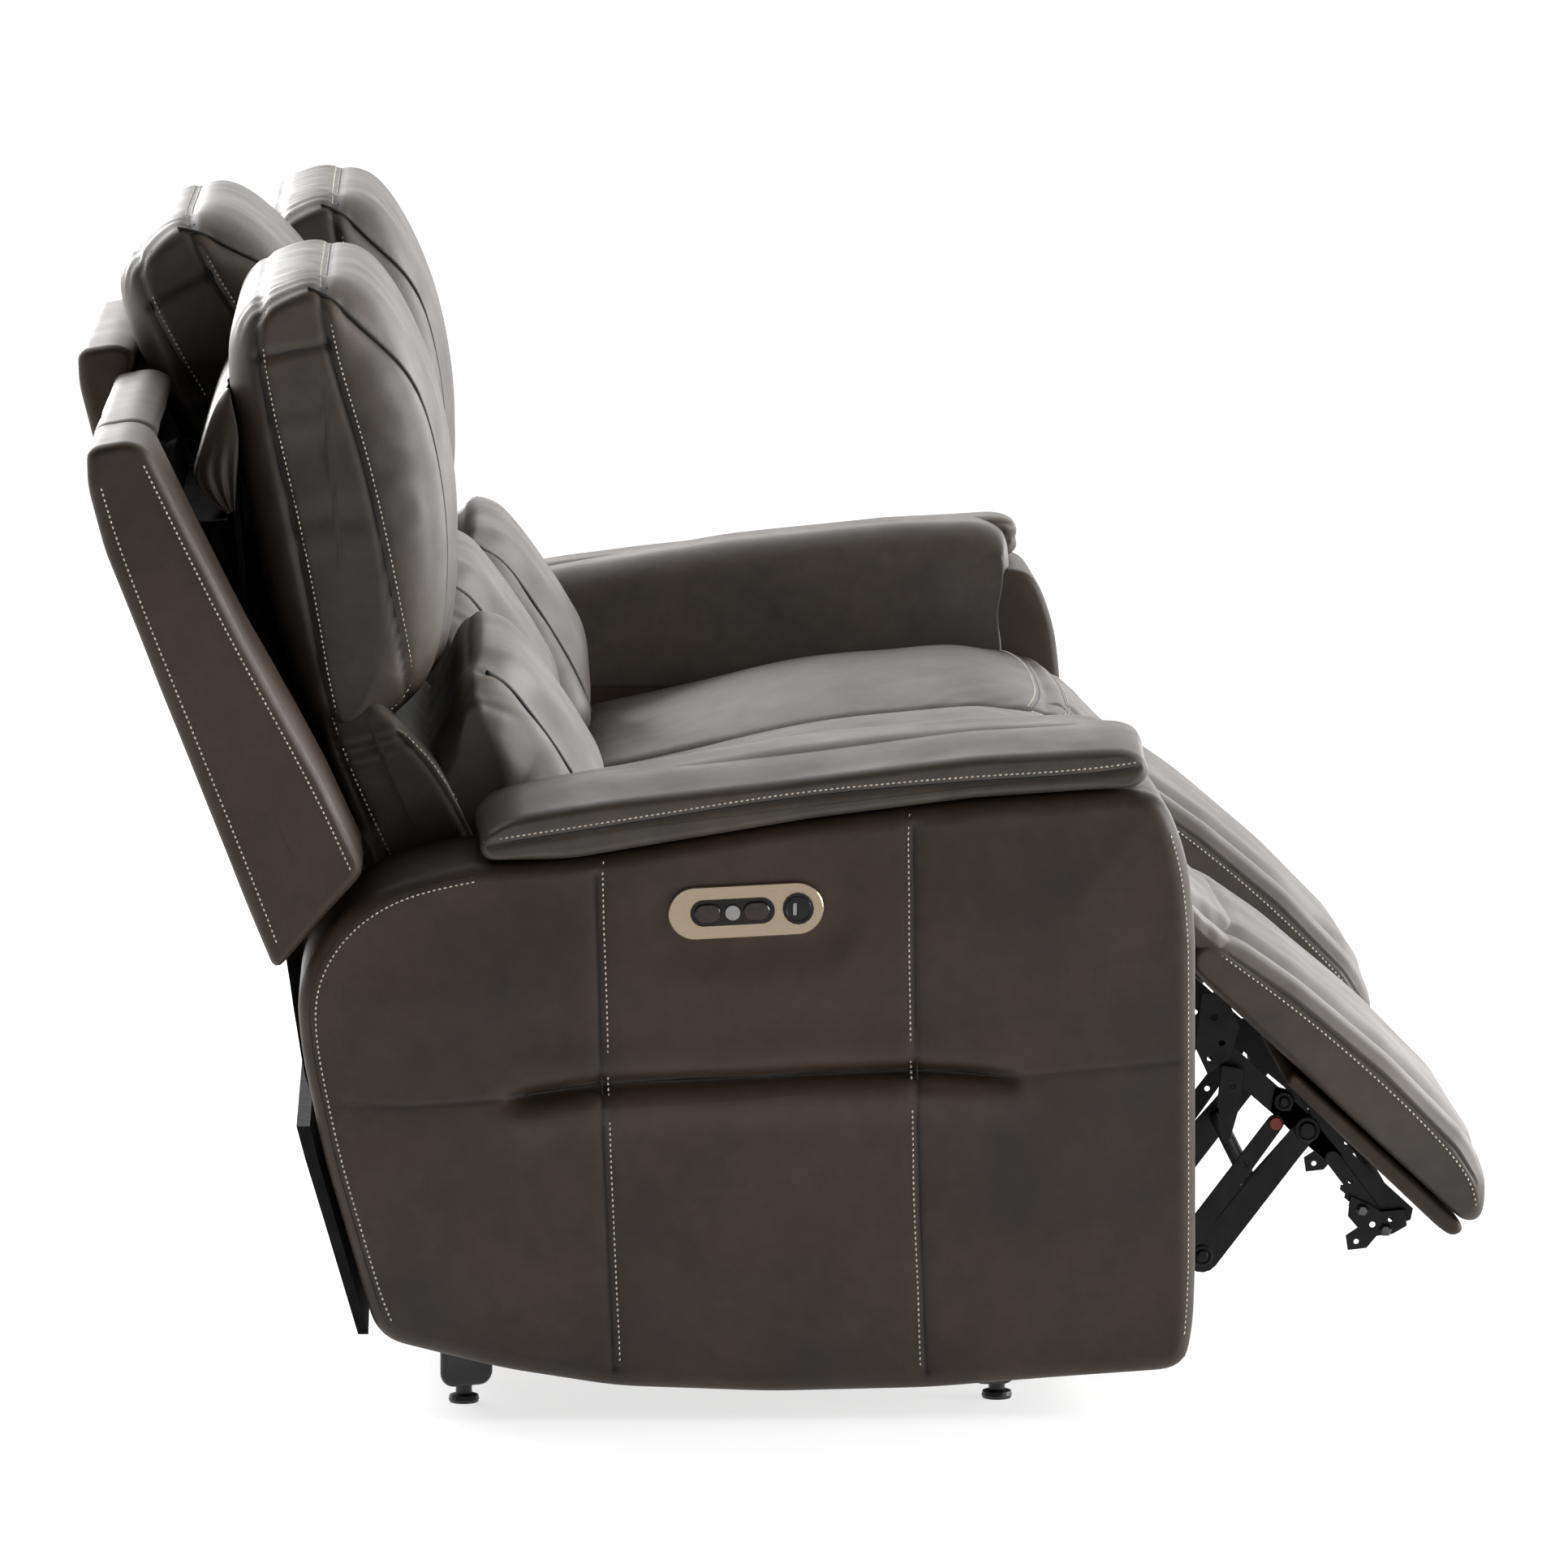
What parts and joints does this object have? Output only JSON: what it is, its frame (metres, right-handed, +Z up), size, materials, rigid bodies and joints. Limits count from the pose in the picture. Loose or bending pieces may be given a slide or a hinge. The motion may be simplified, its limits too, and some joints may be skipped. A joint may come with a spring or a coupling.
{
  "type": "power reclining sofa",
  "caption": "Wide leather reclining sofa with padded arms, gliding and reclining end seats, tilting headrests, folding footrests and an oval control plate on each arm.",
  "frame": {"origin": "centre of the bounding box in plan, at floor level", "axes": "+Z up, the seats face -Y, +X towards the left arm as seated"},
  "size_m": [2.1322, 1.4064, 1.1204],
  "materials": {
    "leather": "satin, softly mottled dark grey-brown",
    "arm_leather": "satin, softly mottled dark brown",
    "cloth": "matt black dust cloth",
    "board": "plain board",
    "steel": "black paint",
    "plate": "satin pale gold",
    "panel": "dark gloss",
    "button": "smoky gloss",
    "foot": "matt black"
  },
  "bodies": {
    "base": {"right_arm": "arm_leather", "right_arm_pad": "leather", "right_control_bezel": "plate", "right_control_insert": "panel", "right_usb_port": "panel", "right_base_frame": "steel", "right_drive_unit": "panel", "left_arm": "arm_leather", "left_arm_pad": "leather", "left_control_bezel": "plate", "left_control_insert": "panel", "left_usb_port": "panel", "left_base_frame": "steel", "left_drive_unit": "panel", "middle_frame": "board", "middle_front_panel": "leather", "middle_seat_cushion": "leather", "middle_back_shell": "leather", "middle_back_cushion": "leather", "middle_head_cushion": "leather", "right_foot_rear": "foot", "right_foot_front": "foot", "left_foot_rear": "foot", "left_foot_front": "foot", "middle_foot_rear": "foot", "middle_foot_front": "foot", "rear_dust_panel": "cloth"},
    "right_seat": {"right_drive_slider": "steel", "right_seat_frame": "board", "right_seat_cushion": "leather"},
    "right_back": {"right_back_shell": "leather", "right_back_frame": "board", "right_lumbar_cushion": "leather"},
    "right_headrest": {"right_head_cushion": "leather", "right_head_bracket": "steel"},
    "right_footrest": {"right_footrest_pad": "leather", "right_footrest_board": "leather", "right_footrest_bracket": "steel"},
    "right_lower_link_pair": {"right_lower_links": "steel"},
    "right_ottoman_link_pair": {"right_ottoman_links": "steel"},
    "right_recline_switch": {"right_recline_rocker": "button"},
    "right_headrest_switch": {"right_headrest_rocker": "button"},
    "right_home_switch": {"right_home_button": "button"},
    "left_seat": {"left_drive_slider": "steel", "left_seat_frame": "board", "left_seat_cushion": "leather"},
    "left_back": {"left_back_shell": "leather", "left_back_frame": "board", "left_lumbar_cushion": "leather"},
    "left_headrest": {"left_head_cushion": "leather", "left_head_bracket": "steel"},
    "left_footrest": {"left_footrest_pad": "leather", "left_footrest_board": "leather", "left_footrest_bracket": "steel"},
    "left_lower_link_pair": {"left_lower_links": "steel"},
    "left_ottoman_link_pair": {"left_ottoman_links": "steel"},
    "left_recline_switch": {"left_recline_rocker": "button"},
    "left_headrest_switch": {"left_headrest_rocker": "button"},
    "left_home_switch": {"left_home_button": "button"}
  },
  "joints": [
    {"name": "right_seat_glide", "type": "slide", "parent": "base", "child": "right_seat", "axis": [0, -1, 0], "range_m": [-0.015, 0.072]},
    {"name": "right_back_recline", "type": "hinge", "parent": "right_seat", "child": "right_back", "pos_m": [-0.557, 0.3305, 0.21], "axis": [-1, 0, 0], "range_deg": [-5.01, 24.01]},
    {"name": "right_headrest_tilt", "type": "hinge", "parent": "right_back", "child": "right_headrest", "pos_m": [-0.557, 0.4758, 0.72314], "axis": [1, 0, 0], "range_deg": [-17, 15]},
    {"name": "right_footrest_raise", "type": "hinge", "parent": "right_seat", "child": "right_footrest", "pos_m": [-0.557, -0.3945, 0.465], "axis": [-1, 0, 0], "range_deg": [-46, 38]},
    {"name": "right_lower_link_swing", "type": "hinge", "parent": "right_seat", "child": "right_lower_link_pair", "pos_m": [-0.557, -0.2905, 0.338], "axis": [-1, 0, 0], "range_deg": [-46.01, 38.01]},
    {"name": "right_ottoman_link_fold", "type": "hinge", "parent": "right_lower_link_pair", "child": "right_ottoman_link_pair", "pos_m": [-0.557, -0.4255, 0.107], "axis": [-1, 0, 0], "range_deg": [-38.01, 46.01]},
    {"name": "right_recline_rocker_press", "type": "hinge", "parent": "base", "child": "right_recline_switch", "pos_m": [-1.0627, 0.07546, 0.49776], "axis": [0, 0.0471, 0.9989], "range_deg": [-4, 4], "stiffness_Nm_per_rad": 0.4},
    {"name": "right_headrest_rocker_press", "type": "hinge", "parent": "base", "child": "right_headrest_switch", "pos_m": [-1.0627, 0.02851, 0.49997], "axis": [0, 0.0471, 0.9989], "range_deg": [-4, 4], "stiffness_Nm_per_rad": 0.4},
    {"name": "right_home_button_press", "type": "slide", "parent": "base", "child": "right_home_switch", "axis": [1, 0, 0], "range_m": [0, 0.001], "stiffness_N_per_m": 600},
    {"name": "left_seat_glide", "type": "slide", "parent": "base", "child": "left_seat", "axis": [0, -1, 0], "range_m": [-0.015, 0.072]},
    {"name": "left_back_recline", "type": "hinge", "parent": "left_seat", "child": "left_back", "pos_m": [0.557, 0.3305, 0.21], "axis": [-1, 0, 0], "range_deg": [-5.01, 24.01]},
    {"name": "left_headrest_tilt", "type": "hinge", "parent": "left_back", "child": "left_headrest", "pos_m": [0.557, 0.4758, 0.72314], "axis": [1, 0, 0], "range_deg": [-17, 15]},
    {"name": "left_footrest_raise", "type": "hinge", "parent": "left_seat", "child": "left_footrest", "pos_m": [0.557, -0.3945, 0.465], "axis": [-1, 0, 0], "range_deg": [-46, 38]},
    {"name": "left_lower_link_swing", "type": "hinge", "parent": "left_seat", "child": "left_lower_link_pair", "pos_m": [0.557, -0.2905, 0.338], "axis": [-1, 0, 0], "range_deg": [-46.01, 38.01]},
    {"name": "left_ottoman_link_fold", "type": "hinge", "parent": "left_lower_link_pair", "child": "left_ottoman_link_pair", "pos_m": [0.557, -0.4255, 0.107], "axis": [-1, 0, 0], "range_deg": [-38.01, 46.01]},
    {"name": "left_recline_rocker_press", "type": "hinge", "parent": "base", "child": "left_recline_switch", "pos_m": [1.0627, 0.07546, 0.49776], "axis": [0, 0.0471, 0.9989], "range_deg": [-4, 4], "stiffness_Nm_per_rad": 0.4},
    {"name": "left_headrest_rocker_press", "type": "hinge", "parent": "base", "child": "left_headrest_switch", "pos_m": [1.0627, 0.02851, 0.49997], "axis": [0, 0.0471, 0.9989], "range_deg": [-4, 4], "stiffness_Nm_per_rad": 0.4},
    {"name": "left_home_button_press", "type": "slide", "parent": "base", "child": "left_home_switch", "axis": [-1, 0, 0], "range_m": [0, 0.001], "stiffness_N_per_m": 600}
  ],
  "couplings": [
    {"joint": "right_back_recline", "follows": "right_seat_glide", "rad_per_m": 5.8178},
    {"joint": "right_lower_link_swing", "follows": "right_footrest_raise", "ratio": 1},
    {"joint": "right_ottoman_link_fold", "follows": "right_footrest_raise", "ratio": -1},
    {"joint": "left_back_recline", "follows": "left_seat_glide", "rad_per_m": 5.8178},
    {"joint": "left_lower_link_swing", "follows": "left_footrest_raise", "ratio": 1},
    {"joint": "left_ottoman_link_fold", "follows": "left_footrest_raise", "ratio": -1}
  ]
}
